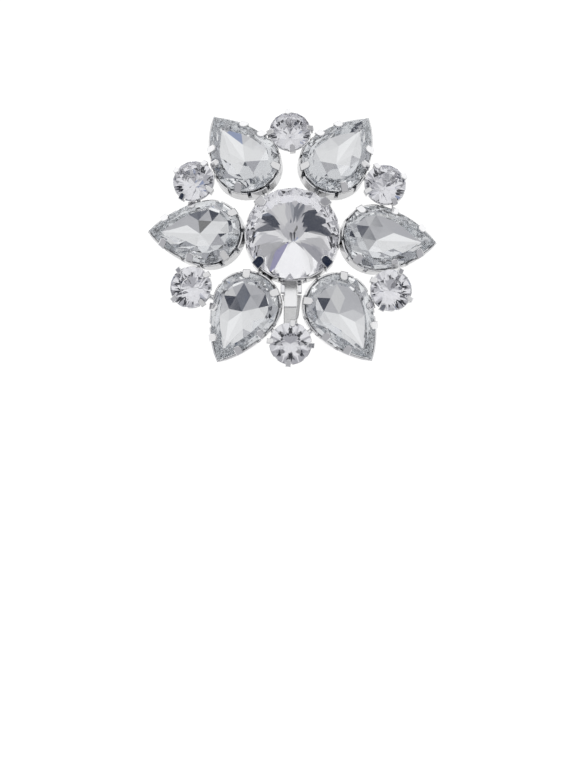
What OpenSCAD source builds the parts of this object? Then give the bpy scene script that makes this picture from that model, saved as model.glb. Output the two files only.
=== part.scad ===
// Rhinestone shoe buckle: a round centre stone inside a ring of six pear stones and six
// small round stones, all held by claws in pressed metal cups that are soldered into one
// domed frame, with a bent spring clip on the back. The buckle lies face up on its pear tips.

/* [Centre stone] */
// Radius of the centre stone
centre_r = 9.0; // [8:0.1:9.2]
// Width of the centre stone's outer bevel
centre_bevel_w = 0.9; // [0.7:0.1:1]
// Height of the centre stone's outer bevel
centre_bevel_h = 0.55; // [0.5:0.05:0.9]
// Radius of the centre stone's small table
centre_table_r = 1.0; // [0.6:0.1:1.6]
// Height of the centre stone's small table
centre_crown_h = 4.4; // [2.6:0.1:4.6]
// Thickness of the centre stone's girdle
centre_girdle = 0.5; // [0.4:0.1:0.6]
// Depth of the centre stone below its girdle
centre_pavilion = 3.5; // [2.8:0.1:3.6]
// Depth of the centre cup below the stone's upper girdle edge
centre_cup_h = 4.2; // [4.1:0.1:4.6]

/* [Pear stones] */
// Radius of the round end
pear_r = 6.2; // [5.6:0.1:6.3]
// Distance of the tip from the middle of the round end
pear_tip = 11.8; // [10.8:0.1:12]
// Angle from the tip's direction at which the round end turns into the flanks
pear_turn = 78; // [70:1:80]
// Height of the table
pear_crown_h = 1.3; // [0.8:0.1:1.6]
// Width of the bevel between table and girdle
pear_bevel_w = 1.7; // [1.2:0.1:2]
// Thickness of the girdle
pear_girdle = 0.6; // [0.4:0.1:0.8]
// Depth below the girdle
pear_pavilion = 2.6; // [2.4:0.1:2.6]
// Slope of the facets around the lowest point
pear_main_slope = 12; // [8:1:14]
// Slope of the second tier of facets
pear_second_slope = 18; // [15:1:20]
// Depth of the pear cups below the stone's upper girdle edge
pear_cup_h = 3.6; // [3.5:0.1:4]

/* [Small round stones] */
// Radius of a small round stone
small_r = 3.95; // [3.6:0.05:4]
// Radius of the table
small_table_r = 2.0; // [1.7:0.05:2.4]
// Height of the table
small_crown_h = 1.15; // [0.9:0.05:1.3]
// Thickness of the girdle
small_girdle = 0.3; // [0.2:0.05:0.4]
// Depth below the girdle
small_pavilion = 3.3; // [2.9:0.1:3.3]
// Depth of the small cups below the stone's upper girdle edge
small_cup_h = 3.7; // [3.6:0.1:4]
// Radius of the small cups' flat back
small_back_r = 2.7; // [2.4:0.1:3]

/* [Dome] */
// Lean of the pear seats away from the centre
pear_lean = 13; // [8:1:14]
// Drop of the pear seats below the centre seat
pear_drop = 1.8; // [1.5:0.1:2.2]
// Lean of the small round seats
small_lean = 10; // [6:1:12]
// Drop of the small round seats
small_drop = 1.9; // [1.6:0.1:2.2]

/* [Metal] */
// Thickness of the cup walls
wall = 0.35; // [0.3:0.05:0.4]
// Thickness of the cups' backs
back = 0.4; // [0.3:0.05:0.5]
// Thickness of the claws
claw_t = 0.32; // [0.25:0.01:0.4]
// Radius of the soldered bridges between the cups
bridge_r = 0.5; // [0.4:0.05:0.6]

/* [Clip] */
// Width of the spring strip
strip_w = 2.6; // [2:0.1:3]
// Thickness of the spring strip
strip_t = 0.6; // [0.4:0.05:0.7]
// Clear gap between the spine and the tongue at the bend
clip_gap = 1.8; // [1.4:0.1:1.9]

/* [Hidden] */

metal_colour = [0.78, 0.79, 0.81];
glass_colour = [0.86, 0.88, 0.92];

// Pear seats, counter-clockwise from the right: bearing, distance from the centre,
// heading of the tip, place of the stone's lowest point, claw angles from the tip
PEARS = [
    [ -1.0, 16.0,  -2.0, [0.4, -0.3], [16, -18, 58, -55, 123, -127]],
    [ 61.5, 16.7,  54.0, [0.4, -0.5], [30, -35, 62, -62, 141, -126]],
    [121.0, 17.1, 123.5, [0.8,  0.1], [36, -30, 62, -62, 132, -138]],
    [177.5, 16.1, 175.6, [2.0,  0.0], [17, -17, 60, -56, 128, -141]],
    [237.0, 16.2, 242.0, [1.5, -0.3], [19, -19, 56, -60, 140, -154]],
    [302.0, 16.4, 303.5, [1.3, -0.4], [31, -22, 60, -56, 137, -133]]];

// Small round seats, counter-clockwise from the one right of the top:
// bearing, distance from the centre, turn of the four claws
SMALLS = [
    [ 29.6, 20.5, -5],
    [ 91.2, 20.72, 7],
    [150.2, 21.85, -3],
    [207.4, 21.8,  5],
    [269.0, 21.0, -6],
    [330.6, 21.6,  4]];

// Claws of the centre stone, by bearing, and its own turn in the cup
CENTRE_CLAWS = [44, 135, 222, 319];
centre_turn = -4;

// Gap that the claws keep from the stones, gap under the girdles, and how far the round cups'
// and the pear cups' walls stand out past the girdles
fit = 0.06;
rim_gap = 0.34;
wall_out = 0.1;
pear_wall_out = wall + fit;
// Slots that part the cup walls into tabs, above a closed foot
slot_w = 0.7;
foot_h = 1.0;
pear_slots = [for (i = [0 : 8]) 46 + 35 * i];
centre_slots = 12;
small_slots = 8;
// Holes in the backs, under the lowest points of the stones
centre_hole_r = 3.0;
pear_hole_r = 2.2;
small_hole_r = 1.0;
// Width and length of the claws' tabs, how much steeper than the bevel the centre claws' tabs
// rise, and height of the legs on the small cups
centre_claw = [1.8, 2.1];
centre_claw_lift = 6;
pear_claw = [1.4, 1.6];
small_claw = [1.0, 1.1];
small_leg_h = 1.2;
// Depths of the bridges below the centre seat, and how far they and the lugs run into the walls
centre_bridge_drop = 3.4;
side_bridge_drop = 4.7;
bite = 0.3;

// The flank of a pear is an arc that touches the round end: its radius, and the distance
// of its middle from the middle of the round end
flank_d = (pear_tip * pear_tip - pear_r * pear_r) / (2 * (pear_r - pear_tip * cos(pear_turn)));
flank_r = flank_d + pear_r;

// Distance of a pear's outline, inset by w, from the middle of its round end at angle a
function turn_of(a) = abs(((a + 540) % 360) - 180);
function pear_reach(a, w) = turn_of(a) >= pear_turn ? pear_r - w :
    sqrt(pow(flank_r - w, 2) - pow(flank_d * sin(turn_of(a) - pear_turn), 2))
    - flank_d * cos(turn_of(a) - pear_turn);
// Direction that a pear's outline faces at angle a
function pear_normal(a) = turn_of(a) >= pear_turn ? a :
    let (s = a < 0 ? -1 : 1, q = pear_reach(a, 0))
    atan2(q * sin(a) + s * flank_d * sin(pear_turn), q * cos(a) + flank_d * cos(pear_turn));

// Reach of a pear cup's outline, w outside the stone's, with a blunter tip
function cup_reach(a, w) = turn_of(a) >= pear_turn ? pear_r + w :
    min(pear_reach(a, -w), (pear_tip + w) / cos(a));

// Height of the centre stone's upper girdle edge, with the pear tips' cups on the ground
girdle_z = pear_drop + cup_reach(0, pear_wall_out) * sin(pear_lean) + pear_cup_h * cos(pear_lean);
centre_back_z = girdle_z - centre_cup_h;

function at_bearing(b, d) = [d * cos(b), d * sin(b)];

// A cut stone is convex, so it is the hull of its corners: rings of points, and the lowest point
module cut_stone(corners) {
    hull() polyhedron(points = corners, faces = [[for (i = [0 : len(corners) - 1]) i]]);
}
function ring(n, shift, r, z) =
    [for (i = [0 : n - 1]) let (a = (i + shift) * 360 / n) [r * cos(a), r * sin(a), z]];
function pear_ring(n, shift, w, z) =
    [for (i = [0 : n - 1]) let (a = (i + shift) * 360 / n, q = pear_reach(a, w))
        [q * cos(a), q * sin(a), z]];

// Centre cut: bevel, plain crown facets up to a small table, and plain facets below
module centre_cut() {
    n = 16;
    cut_stone(concat(
        ring(n, 0.5, centre_table_r, centre_crown_h),
        ring(n, 0.5, centre_r - centre_bevel_w, centre_bevel_h),
        ring(n, 0, centre_r, 0),
        ring(n, 0, centre_r, -centre_girdle),
        [[0, 0, -centre_girdle - centre_pavilion]]));
}

// Small cut: eight-sided table, stars and bevels on the crown, eight mains below. The stars'
// outer corners stand at a share of the crown's height, and the mains meet at a share of the radius
small_star_r = (small_r + small_table_r) / 2;
small_star_share = 0.53;
small_star_h = small_star_share * small_crown_h;
small_valley_share = 0.3;
module small_cut() {
    n = 8;
    valley_r = small_valley_share * small_r;
    depth = small_girdle + small_pavilion;
    cut_stone(concat(
        ring(n, 0.5, small_table_r, small_crown_h),
        ring(n, 0, small_star_r, small_star_h),
        ring(2 * n, 0, small_r, 0),
        ring(2 * n, 0, small_r, -small_girdle),
        ring(n, 0.5, valley_r, valley_r * cos(180 / n) * small_pavilion / small_r - depth),
        [[0, 0, -depth]]));
}

// Pear cut: flat table, and three tiers of facets below. The corners of the tiers lie on lines
// from the lowest point to the girdle, at these shares of the way and these angles from the tip.
// The second tier's corners between the mains lie a little further in
main_share = 0.45;
second_share = 0.74;
inner_share = 0.98 * second_share;
main_angles = [-120, -62, -24, 24, 62, 120, 180];
second_angles = [-150, -91, -43, 0, 43, 91, 150];
module pear_cut(culet) {
    n = 16;
    low_z = -pear_girdle - pear_pavilion;
    main_z = low_z + main_share * pear_r * tan(pear_main_slope);
    second_z = main_z + (second_share - main_share) * pear_r * tan(pear_second_slope);
    function corner(a, share, z) = let (q = pear_reach(a, 0))
        concat(culet + share * (q * [cos(a), sin(a)] - culet), z);
    cut_stone(concat(
        pear_ring(n, 0.5, pear_bevel_w, pear_crown_h),
        pear_ring(n, 0, 0, 0),
        pear_ring(n, 0, 0, -pear_girdle),
        [for (a = main_angles) corner(a, main_share, main_z)],
        [for (a = main_angles) corner(a, inner_share, second_z)],
        [for (a = second_angles) corner(a, second_share, second_z)],
        [concat(culet, low_z)]));
}

// Seats: the middle of a stone's upper girdle edge, with x pointing outwards
module pear_seat(i) {
    p = PEARS[i];
    translate(concat(at_bearing(p[0], p[1]), girdle_z - pear_drop))
        rotate([0, 0, p[2]]) rotate([0, pear_lean, 0]) children();
}
module small_seat(i) {
    s = SMALLS[i];
    translate(concat(at_bearing(s[0], s[1]), girdle_z - small_drop))
        rotate([0, 0, 30 + 60 * i]) rotate([0, small_lean, 0]) children();
}
module centre_seat() { translate([0, 0, girdle_z]) children(); }

// Outline of a pear cup, w outside the stone's
module pear_shape(w) {
    polygon([for (a = [0 : 7.5 : 352.5]) cup_reach(a, w) * [cos(a), sin(a)]]);
}
module pear_cup(hole) {
    translate([0, 0, -pear_cup_h]) linear_extrude(back) difference() {
        pear_shape(pear_wall_out);
        translate(hole) circle(r = pear_hole_r, $fn = 32);
    }
    translate([0, 0, -pear_cup_h]) linear_extrude(foot_h) pear_rim();
    translate([0, 0, -pear_cup_h]) linear_extrude(pear_cup_h - pear_girdle - rim_gap) difference() {
        pear_rim();
        for (a = pear_slots) rotate(a) translate([0, -slot_w / 2]) square([2 * pear_tip, slot_w]);
    }
}
module pear_rim() {
    difference() { pear_shape(pear_wall_out); pear_shape(fit); }
}
module pear_hollow() {
    translate([0, 0, back - pear_cup_h]) linear_extrude(2 * pear_cup_h) pear_shape(fit);
}

module centre_cup() {
    outer = centre_r + wall_out;
    rim_h = centre_cup_h - centre_girdle - rim_gap;
    translate([0, 0, -centre_cup_h]) difference() {
        cylinder(r = outer, h = rim_h, $fn = 96);
        translate([0, 0, back]) cylinder(r = outer - wall, h = rim_h, $fn = 96);
        translate([0, 0, -back]) cylinder(r = centre_hole_r, h = 3 * back, $fn = 48);
        for (i = [0 : centre_slots / 2 - 1]) rotate(15 + i * 360 / centre_slots)
            translate([-2 * outer, -slot_w / 2, foot_h]) cube([4 * outer, slot_w, rim_h]);
    }
}
module centre_hollow() {
    translate([0, 0, back - centre_cup_h])
        cylinder(r = centre_r + wall_out - wall, h = 2 * centre_cup_h, $fn = 96);
}

module small_cup() {
    top_r = small_r + wall_out;
    top_z = -small_girdle - rim_gap;
    difference() {
        rotate_extrude($fn = 64) polygon([
            [small_hole_r, -small_cup_h], [small_back_r, -small_cup_h], [top_r, top_z],
            [top_r - wall, top_z], [small_back_r - wall, back - small_cup_h],
            [small_hole_r, back - small_cup_h]]);
        for (i = [0 : small_slots / 2 - 1]) rotate(i * 360 / small_slots)
            translate([-2 * top_r, -slot_w / 2, foot_h - small_cup_h])
                cube([4 * top_r, slot_w, small_cup_h]);
    }
}
module small_hollow() {
    top_r = small_r + wall_out - wall;
    translate([0, 0, back - small_cup_h])
        cylinder(r1 = small_back_r - wall, r2 = top_r + wall, h = small_cup_h, $fn = 64);
}

// Claw: a leg outside the girdle and a round-ended tab along the bevel, which rises inwards
// at the given slope and laps over the leg; x points outwards from the girdle edge
module claw(size, slope, leg_h) {
    width = size[0];
    inner = width / 2 - size[1];
    lap = 0.44;
    translate([0.05, -width / 2, -leg_h]) cube([claw_t, width, leg_h + 0.1]);
    translate([fit * sin(slope), 0, fit * cos(slope)]) rotate([0, slope, 0])
        linear_extrude(claw_t) {
            translate([inner, -width / 2]) square([lap - inner, width]);
            translate([inner, 0]) circle(r = width / 2, $fn = 32);
        }
}
module pear_claws(i) {
    slope = atan(pear_crown_h / pear_bevel_w);
    for (a = PEARS[i][4]) translate(pear_reach(a, 0) * [cos(a), sin(a)])
        rotate(pear_normal(a)) claw(pear_claw, slope, pear_cup_h - foot_h / 2);
}
module centre_claws() {
    slope = atan(centre_bevel_h / centre_bevel_w) + centre_claw_lift;
    for (a = CENTRE_CLAWS) rotate(a) translate([centre_r, 0])
        claw(centre_claw, slope, centre_cup_h - foot_h / 2);
}
module small_claws(i) {
    slope = atan(small_star_h / (small_r - small_star_r));
    for (k = [0 : 3]) rotate(SMALLS[i][2] + 90 * k) translate([small_r, 0])
        claw(small_claw, slope, small_leg_h);
}

// Soldered bridge: a short wire between two points
module wire(p, q) {
    v = q - p;
    length = norm(v);
    translate(p) rotate([0, acos(v[2] / length), atan2(v[1], v[0])])
        cylinder(r = bridge_r, h = length, $fn = 24);
}
module centre_bridge(i) {
    p = PEARS[i];
    z = girdle_z - centre_bridge_drop;
    inner = p[1] - (pear_r + pear_wall_out) * cos(pear_lean) - pear_cup_h * sin(pear_lean);
    wire(concat(at_bearing(p[0], centre_r - wall), z),
        concat(at_bearing(p[0], inner + wall + bite), z));
}
module side_bridge(i, k) {
    z = girdle_z - side_bridge_drop;
    from = concat(at_bearing(SMALLS[i][0], SMALLS[i][1]), z);
    pear = concat(at_bearing(PEARS[k][0], PEARS[k][1]), z);
    way = (pear - from) / norm(pear - from);
    wire(from + (small_back_r - 2 * wall) * way, pear - (pear_r - wall) * way);
}

// Lugs on the centre cup's wall, on both sides of the clip's strip
strip_x = SMALLS[4][1] * cos(SMALLS[4][0]);
module lugs() {
    lug = [0.8, 2.2, 1.1];
    for (x = [strip_x - strip_w / 2 - fit - lug[0] + bite, strip_x + strip_w / 2 + fit])
        translate([x, bite - centre_r - lug[1], centre_back_z + 0.1]) cube(lug);
}

module claw_frame() color(metal_colour) {
    centre_seat() { centre_cup(); centre_claws(); }
    for (i = [0 : 5]) {
        pear_seat(i) { pear_cup(PEARS[i][3]); pear_claws(i); }
        small_seat(i) { small_cup(); small_claws(i); }
    }
    lugs();
    difference() {
        for (i = [0 : 5]) {
            centre_bridge(i);
            side_bridge(i, i);
            side_bridge(i, (i + 1) % 6);
        }
        centre_seat() centre_hollow();
        for (i = [0 : 5]) { pear_seat(i) pear_hollow(); small_seat(i) small_hollow(); }
    }
}

// Clip: spine, bend and tongue in one strip. It is drawn from the side, with the spine's
// upper face at height 0 and y along the buckle, then turned upright.
bend_y = 8.5;
kink_y = -13.4;
gusset_y = -11.0;
gusset_lean = 25;
// The strip's end under the lowest small cup: its reach inwards and outwards of the cup's middle,
// and its width, a little less than the spine's
run_in = 7.4;
run_out = 1.5;
end_w = strip_w - 0.1;
function stretch(a, b, t) = [a, b, b - [0, t], a - [0, t]];
module clip_side() {
    bend_r = clip_gap / 2;
    bend_z = -strip_t - bend_r;
    tongue_z = -strip_t - clip_gap;
    grip = [-15.5, tongue_z + 0.3];
    lip = [-19.5, tongue_z - 0.7];
    polygon(stretch([kink_y, 0], [bend_y, 0], strip_t));
    difference() {
        translate([bend_y, bend_z]) circle(r = bend_r + strip_t, $fn = 48);
        translate([bend_y, bend_z]) circle(r = bend_r, $fn = 48);
        translate([bend_y - 2 * clip_gap, bend_z - clip_gap]) square(2 * clip_gap);
    }
    polygon(stretch(grip, [bend_y, tongue_z], strip_t));
    polygon(stretch(lip, grip, strip_t));
}
// Gusset beside the strip, wide at the centre cup and running out along the strip
module gusset(width, length) {
    rotate([0, gusset_lean, 0]) linear_extrude(wall)
        polygon([[-bite, 0], [width, 0], [0, -length], [-bite, -length]]);
}
module clip() color(metal_colour) {
    z = centre_back_z - 0.05;
    translate([strip_x - strip_w / 2, 0, z])
        rotate([90, 0, 90]) linear_extrude(strip_w) clip_side();
    small_seat(4) translate([-run_in, -end_w / 2, -small_cup_h - 0.05 - strip_t])
        cube([run_in + run_out, end_w, strip_t]);
    translate([strip_x + strip_w / 2, gusset_y, z - 0.5]) gusset(0.85, 4.6);
    translate([strip_x - strip_w / 2, gusset_y, z - 0.5]) mirror([1, 0, 0]) gusset(0.3, 1.2);
}

module centre_stone() color(glass_colour) centre_seat() rotate(centre_turn) centre_cut();
module pear_stone(i) color(glass_colour) pear_seat(i) pear_cut(PEARS[i][3]);
module round_stone(i) color(glass_colour) small_seat(i) small_cut();

claw_frame();
clip();
centre_stone();
pear_stone(0);  // pear_stone_1
pear_stone(1);  // pear_stone_2
pear_stone(2);  // pear_stone_3
pear_stone(3);  // pear_stone_4
pear_stone(4);  // pear_stone_5
pear_stone(5);  // pear_stone_6
round_stone(0);  // round_stone_1
round_stone(1);  // round_stone_2
round_stone(2);  // round_stone_3
round_stone(3);  // round_stone_4
round_stone(4);  // round_stone_5
round_stone(5);  // round_stone_6
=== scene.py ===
from math import cos, radians, sin

import bmesh
import bpy
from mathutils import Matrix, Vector


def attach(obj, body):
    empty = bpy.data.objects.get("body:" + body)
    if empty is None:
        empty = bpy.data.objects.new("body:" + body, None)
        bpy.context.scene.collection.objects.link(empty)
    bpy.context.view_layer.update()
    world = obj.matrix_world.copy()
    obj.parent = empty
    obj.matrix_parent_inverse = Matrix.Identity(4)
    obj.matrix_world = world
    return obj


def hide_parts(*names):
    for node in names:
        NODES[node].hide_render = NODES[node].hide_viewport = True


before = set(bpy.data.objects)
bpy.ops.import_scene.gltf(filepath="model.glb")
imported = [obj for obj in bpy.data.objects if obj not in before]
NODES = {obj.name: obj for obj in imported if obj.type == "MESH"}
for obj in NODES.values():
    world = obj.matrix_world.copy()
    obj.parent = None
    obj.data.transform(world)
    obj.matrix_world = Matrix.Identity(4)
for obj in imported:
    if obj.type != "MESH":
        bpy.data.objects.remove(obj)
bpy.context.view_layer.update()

MM = 0.001
scene = bpy.context.scene


# Camera: it leans 11.3 degrees, and the buckle is 2.7 degrees above the middle of its frame, so
# the buckle is seen from 14 degrees off its axis
CAMERA_TILT = radians(11.3)
LENS, SENSOR = 150.0, 36.0
CLIP_START, CLIP_END = 0.01, 10.0
# Middle of the centre stone's girdle, and from there the way to the frame's middle in its plane
GIRDLE = Vector((0, 0, 8.05 * MM))
MIDDLE_IN_FRAME = Vector((-0.84 * MM, -28.65 * MM))
FRAME_HEIGHT = 145.92 * MM

# Light tent, as seen from the buckle: azimuth and elevation of each patch's middle, its radius
# and its soft edge in degrees, and its colour. A later patch lies over an earlier one.
WALL = (0.82, 0.82, 0.82, 1)
DARK = (0.015, 0.022, 0.045, 1)
PATCHES = (
    # Broad tones: light overhead and low at the back, shade in front and low at the sides
    (0, 90, 26, 12, (0.96, 0.96, 0.96, 1)),
    (270, 5, 73, 18, (0.47, 0.47, 0.49, 1)),
    (300, 34, 13, 6, (0.64, 0.64, 0.64, 1)),
    (33, 10, 10, 6, (0.45, 0.45, 0.46, 1)),
    (52, 9, 10, 5, (0.35, 0.35, 0.37, 1)),
    (136, 8, 11, 5, (0.34, 0.34, 0.37, 1)),
    (154, 13, 10, 5, (0.5, 0.5, 0.51, 1)),
    (14, 16, 9, 5, (0.55, 0.55, 0.57, 1)),
    (90, -4, 27, 7, (1.04, 1.04, 1.05, 1)),
    (90, 75, 8, 4, (0.92, 0.92, 0.94, 1)),
    # Small darker patches, for the dark facets and claws
    (202, 27, 8.5, 2, DARK),
    (213, 22, 5, 2, DARK),
    (187, 16, 9, 2, DARK),
    (223, 31, 8.5, 3, DARK),
    (221, 49, 4, 2, (0.17, 0.17, 0.17, 1)),
    (255, 38, 6, 2, (0.13, 0.14, 0.17, 1)),
    (313.5, 45.3, 3.8, 1, DARK),
    (319, 20, 5, 2, (0.1, 0.12, 0.17, 1)),
    (330, 25.5, 7, 2, DARK),
    (350, 19, 7, 2, (0.1, 0.105, 0.13, 1)),
    (271, 33, 2.5, 1, (0.3, 0.31, 0.34, 1)),
    # Bluish patches, for the few tinted facets
    (204, 57, 6, 2, (0.3, 0.35, 0.5, 1)),
    (60, 7, 3, 1, (0.32, 0.31, 0.46, 1)),
    # The dark lens above the buckle
    (270, 74.5, 8, 2, (0.02, 0.022, 0.03, 1)),
)

# Stones: points nearer than WELD are one point, and faces that turn less than FLAT are one facet.
# A facet counts to the crown when its normal rises past CROWN_RISE, and it has foil when it turns
# down past FOIL_FROM, with the smoother foil of the main facets past MAIN_FROM.
WELD = 0.0005 * MM
FLAT = radians(0.3)
CROWN_RISE = 0.4
FOIL_FROM, MAIN_FROM = 0.2, 0.87
GLASS_SLOT, MAIN_SLOT, RIM_SLOT = range(3)
GLASS_IOR = 1.54

# Plating: node, tone, and least and greatest roughness
METALS = (
    ("claw_frame", (0.9, 0.9, 0.91), 0.05, 0.16),
    ("clip", (0.97, 0.97, 0.97), 0.2, 0.3),
)
# Share of the tone that is kept where it is worn, and on the steep sides as painted shade; and
# the rises of the normal between which a shaded side becomes a lit top
WORN_TONE, PAINTED_SIDE_SHADE = 0.92, 0.6
SIDE_RISE, TOP_RISE = 0.15, 0.6
# Sizes of the wear's clouds and of the fine grain, as noise scales, and the grain's relief
CLOUD_SCALE, GRAIN_SCALE = 900.0, 4000.0
GRAIN_STRENGTH, GRAIN_DEPTH = 0.15, 0.02 * MM
EDGE_RADIUS, EDGE_SAMPLES = 0.25 * MM, 8

# Floor: paper just below the buckle, lit from within so that it shows as white as in the photo
FLOOR_SIZE = 4.0
FLOOR_DROP = 0.01 * MM
PAPER_TONE, PAPER_GLOW = 0.25, 0.93

# Light bounces that the stones need
BOUNCES, GLOSSY_BOUNCES = 24, 16

# Sockets of the Mix node for colours: its factor, its two colours and its result
MIX_FACTOR, MIX_A, MIX_B, MIX_RESULT = 0, 6, 7, 2


def add_camera():
    """Long lens over the buckle, with the frame's middle below it as in the photo."""
    data = bpy.data.cameras.new("camera")
    data.lens, data.sensor_width = LENS, SENSOR
    distance = FRAME_HEIGHT * LENS / SENSOR
    up = Vector((0, cos(CAMERA_TILT), sin(CAMERA_TILT)))
    back = Vector((0, -sin(CAMERA_TILT), cos(CAMERA_TILT)))
    aim = GIRDLE + Vector((MIDDLE_IN_FRAME.x, 0, 0)) + MIDDLE_IN_FRAME.y * up
    camera = bpy.data.objects.new("camera", data)
    camera.location = aim + distance * back
    camera.rotation_euler = (CAMERA_TILT, 0, 0)
    data.clip_start, data.clip_end = CLIP_START, CLIP_END
    scene.collection.objects.link(camera)
    scene.camera = camera


class Tree:
    """Short calls for building a node tree."""

    def __init__(self, owner):
        owner.use_nodes = True
        self.nodes, self.links = owner.node_tree.nodes, owner.node_tree.links
        self.nodes.clear()

    def add(self, kind, inputs=None, **settings):
        """New node; an input is a value or another node's socket."""
        node = self.nodes.new(kind)
        for name, value in settings.items():
            setattr(node, name, value)
        for name, value in (inputs or {}).items():
            if isinstance(value, bpy.types.NodeSocket):
                self.links.new(value, node.inputs[name])
            else:
                node.inputs[name].default_value = value
        return node

    def mix(self, factor, a, b):
        """Colour between a and b."""
        inputs = {MIX_FACTOR: factor, MIX_A: a, MIX_B: b}
        return self.add("ShaderNodeMix", inputs, data_type="RGBA").outputs[MIX_RESULT]


def direction(azimuth, elevation):
    """Unit vector of an azimuth and an elevation in degrees."""
    a, e = radians(azimuth), radians(elevation)
    return Vector((cos(a) * cos(e), sin(a) * cos(e), sin(e)))


def add_world():
    """Soft light tent with a few brighter and darker patches for the facets to pick up."""
    world = bpy.data.worlds.new("light_tent")
    scene.world = world
    tree = Tree(world)
    way = tree.add("ShaderNodeTexCoord").outputs["Generated"]
    colour = tree.add("ShaderNodeRGB").outputs[0]
    colour.default_value = WALL
    for azimuth, elevation, radius, edge, shade in PATCHES:
        near = tree.add("ShaderNodeVectorMath", {0: way}, operation="DOT_PRODUCT")
        near.inputs[1].default_value = direction(azimuth, elevation)
        inside = tree.add("ShaderNodeMapRange", {
            "Value": near.outputs["Value"],
            "From Min": cos(radians(radius + edge / 2)),
            "From Max": cos(radians(radius - edge / 2)),
        }, interpolation_type="SMOOTHSTEP")
        colour = tree.mix(inside.outputs[0], colour, shade)
    light = tree.add("ShaderNodeBackground", {"Color": colour, "Strength": 1.0})
    plain = tree.add("ShaderNodeBackground", {"Color": (1, 1, 1, 1), "Strength": 1.0})
    seen = tree.add("ShaderNodeLightPath").outputs["Is Camera Ray"]
    both = tree.add("ShaderNodeMixShader", {0: seen, 1: light.outputs[0], 2: plain.outputs[0]})
    tree.add("ShaderNodeOutputWorld", {"Surface": both.outputs[0]})


def new_material(name):
    """Empty material and the tree to fill."""
    material = bpy.data.materials.new(name)
    return material, Tree(material)


def crown_glass():
    """Clear cut glass."""
    material, tree = new_material("crown_glass")
    glass = tree.add("ShaderNodeBsdfPrincipled", {
        "Base Color": (1.0, 1.0, 1.0, 1),
        "Roughness": 0.0,
        "IOR": GLASS_IOR,
        "Transmission Weight": 1.0,
    })
    tree.add("ShaderNodeOutputMaterial", {"Surface": glass.outputs[0]})
    return material


def foil(name, tone, roughness):
    """Mirror foil on the back facets."""
    material, tree = new_material(name)
    mirror = tree.add("ShaderNodeBsdfPrincipled", {
        "Base Color": tone,
        "Metallic": 1.0,
        "Roughness": roughness,
    })
    tree.add("ShaderNodeOutputMaterial", {"Surface": mirror.outputs[0]})
    return material


def opaque(tone, share=1.0):
    """Share of a tone, as a colour without transparency."""
    return [share * c for c in tone] + [1]


def plating(name, tone, rough_low, rough_high):
    """Bright plating with faint wear, a fine grain, softened edges, and painted shade on the
    steep sides.
    """
    material, tree = new_material(name)
    place = tree.add("ShaderNodeTexCoord").outputs["Object"]
    clouds = tree.add("ShaderNodeTexNoise", {
        "Vector": place, "Scale": CLOUD_SCALE, "Detail": 4.0})
    rough = tree.add("ShaderNodeMapRange", {
        "Value": clouds.outputs[0], "To Min": rough_low, "To Max": rough_high})
    worn = tree.mix(clouds.outputs[0], opaque(tone, WORN_TONE), opaque(tone))
    # Painted shade: faces whose normal rises little get a darker share of the tone than the tops
    normal = tree.add("ShaderNodeNewGeometry").outputs["Normal"]
    facing = tree.add("ShaderNodeSeparateXYZ", {0: normal})
    painted_side_shade = tree.add("ShaderNodeMapRange", {
        "Value": facing.outputs["Z"], "From Min": SIDE_RISE, "From Max": TOP_RISE})
    colour = tree.mix(painted_side_shade.outputs[0], opaque(tone, PAINTED_SIDE_SHADE), worn)
    grain = tree.add("ShaderNodeTexNoise", {
        "Vector": place, "Scale": GRAIN_SCALE, "Detail": 2.0})
    edge = tree.add("ShaderNodeBevel", {"Radius": EDGE_RADIUS}, samples=EDGE_SAMPLES)
    bump = tree.add("ShaderNodeBump", {
        "Height": grain.outputs[0],
        "Strength": GRAIN_STRENGTH,
        "Distance": GRAIN_DEPTH,
        "Normal": edge.outputs[0],
    })
    metal = tree.add("ShaderNodeBsdfPrincipled", {
        "Base Color": colour,
        "Metallic": 1.0,
        "Roughness": rough.outputs[0],
        "Normal": bump.outputs[0],
    })
    tree.add("ShaderNodeOutputMaterial", {"Surface": metal.outputs[0]})
    return material


# Glass, and the foils behind round stones, behind a pear's main facets and behind its rim facets
GLASS = crown_glass()
FOIL = foil("foil", (0.88, 0.88, 0.90, 1), 0.02)
PEAR_FOIL = foil("pear_foil", (0.85, 0.86, 0.875, 1), 0.02)
RIM_FOIL = foil("rim_foil", (0.9, 0.91, 0.92, 1), 0.06)


def stone_axis(mesh):
    """The way that a stone faces: its crown's area vector."""
    crown = [f for f in mesh.faces if f.normal.z > CROWN_RISE]
    return sum((f.calc_area() * f.normal for f in crown), Vector()).normalized()


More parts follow.
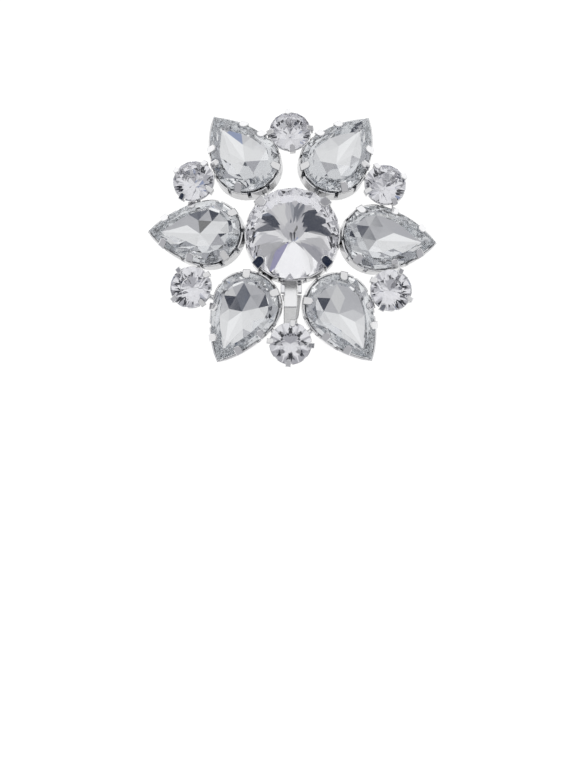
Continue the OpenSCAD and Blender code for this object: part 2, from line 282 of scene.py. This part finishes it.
def add_stone(node):
    """Stone with glass on its crown and girdle, and foil on its back facets."""
    mesh = bmesh.new()
    mesh.from_mesh(NODES[node].data)
    bmesh.ops.remove_doubles(mesh, verts=mesh.verts, dist=WELD)
    bmesh.ops.dissolve_limit(mesh, angle_limit=FLAT, verts=mesh.verts, edges=mesh.edges)
    mesh.normal_update()
    axis = stone_axis(mesh)
    for face in mesh.faces:
        down = -face.normal.dot(axis)
        face.smooth = False
        if down < FOIL_FROM:
            face.material_index = GLASS_SLOT
        elif down > MAIN_FROM:
            face.material_index = MAIN_SLOT
        else:
            face.material_index = RIM_SLOT
    data = bpy.data.meshes.new(node + "_cut")
    mesh.to_mesh(data)
    mesh.free()
    foils = (PEAR_FOIL, RIM_FOIL) if "pear" in node else (FOIL, FOIL)
    for material in (GLASS, *foils):
        data.materials.append(material)
    stone = bpy.data.objects.new(node + "_cut", data)
    scene.collection.objects.link(stone)
    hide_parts(node)
    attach(stone, "root")


def dress_metal():
    """Plating on the two metal nodes, which keep their own meshes."""
    for node, tone, rough_low, rough_high in METALS:
        data = NODES[node].data
        data.materials.clear()
        data.materials.append(plating(node + "_plating", tone, rough_low, rough_high))


def add_floor():
    """Plain white paper under the buckle."""
    bpy.ops.mesh.primitive_plane_add(size=FLOOR_SIZE)
    floor = bpy.context.object
    floor.name = "floor"
    floor.location.z = -FLOOR_DROP
    material, tree = new_material("floor_paper")
    paper = tree.add("ShaderNodeBsdfPrincipled", {
        "Base Color": (PAPER_TONE, PAPER_TONE, PAPER_TONE, 1),
        "Roughness": 0.8,
        "Specular IOR Level": 0.1,
        "Emission Color": (1, 1, 1, 1),
        "Emission Strength": PAPER_GLOW,
    })
    tree.add("ShaderNodeOutputMaterial", {"Surface": paper.outputs[0]})
    floor.data.materials.append(material)


scene.view_settings.view_transform = "Standard"
scene.cycles.max_bounces = BOUNCES
scene.cycles.transmission_bounces = BOUNCES
scene.cycles.glossy_bounces = GLOSSY_BOUNCES
add_camera()
add_world()
add_floor()
dress_metal()
for name in NODES:
    if "stone" in name:
        add_stone(name)
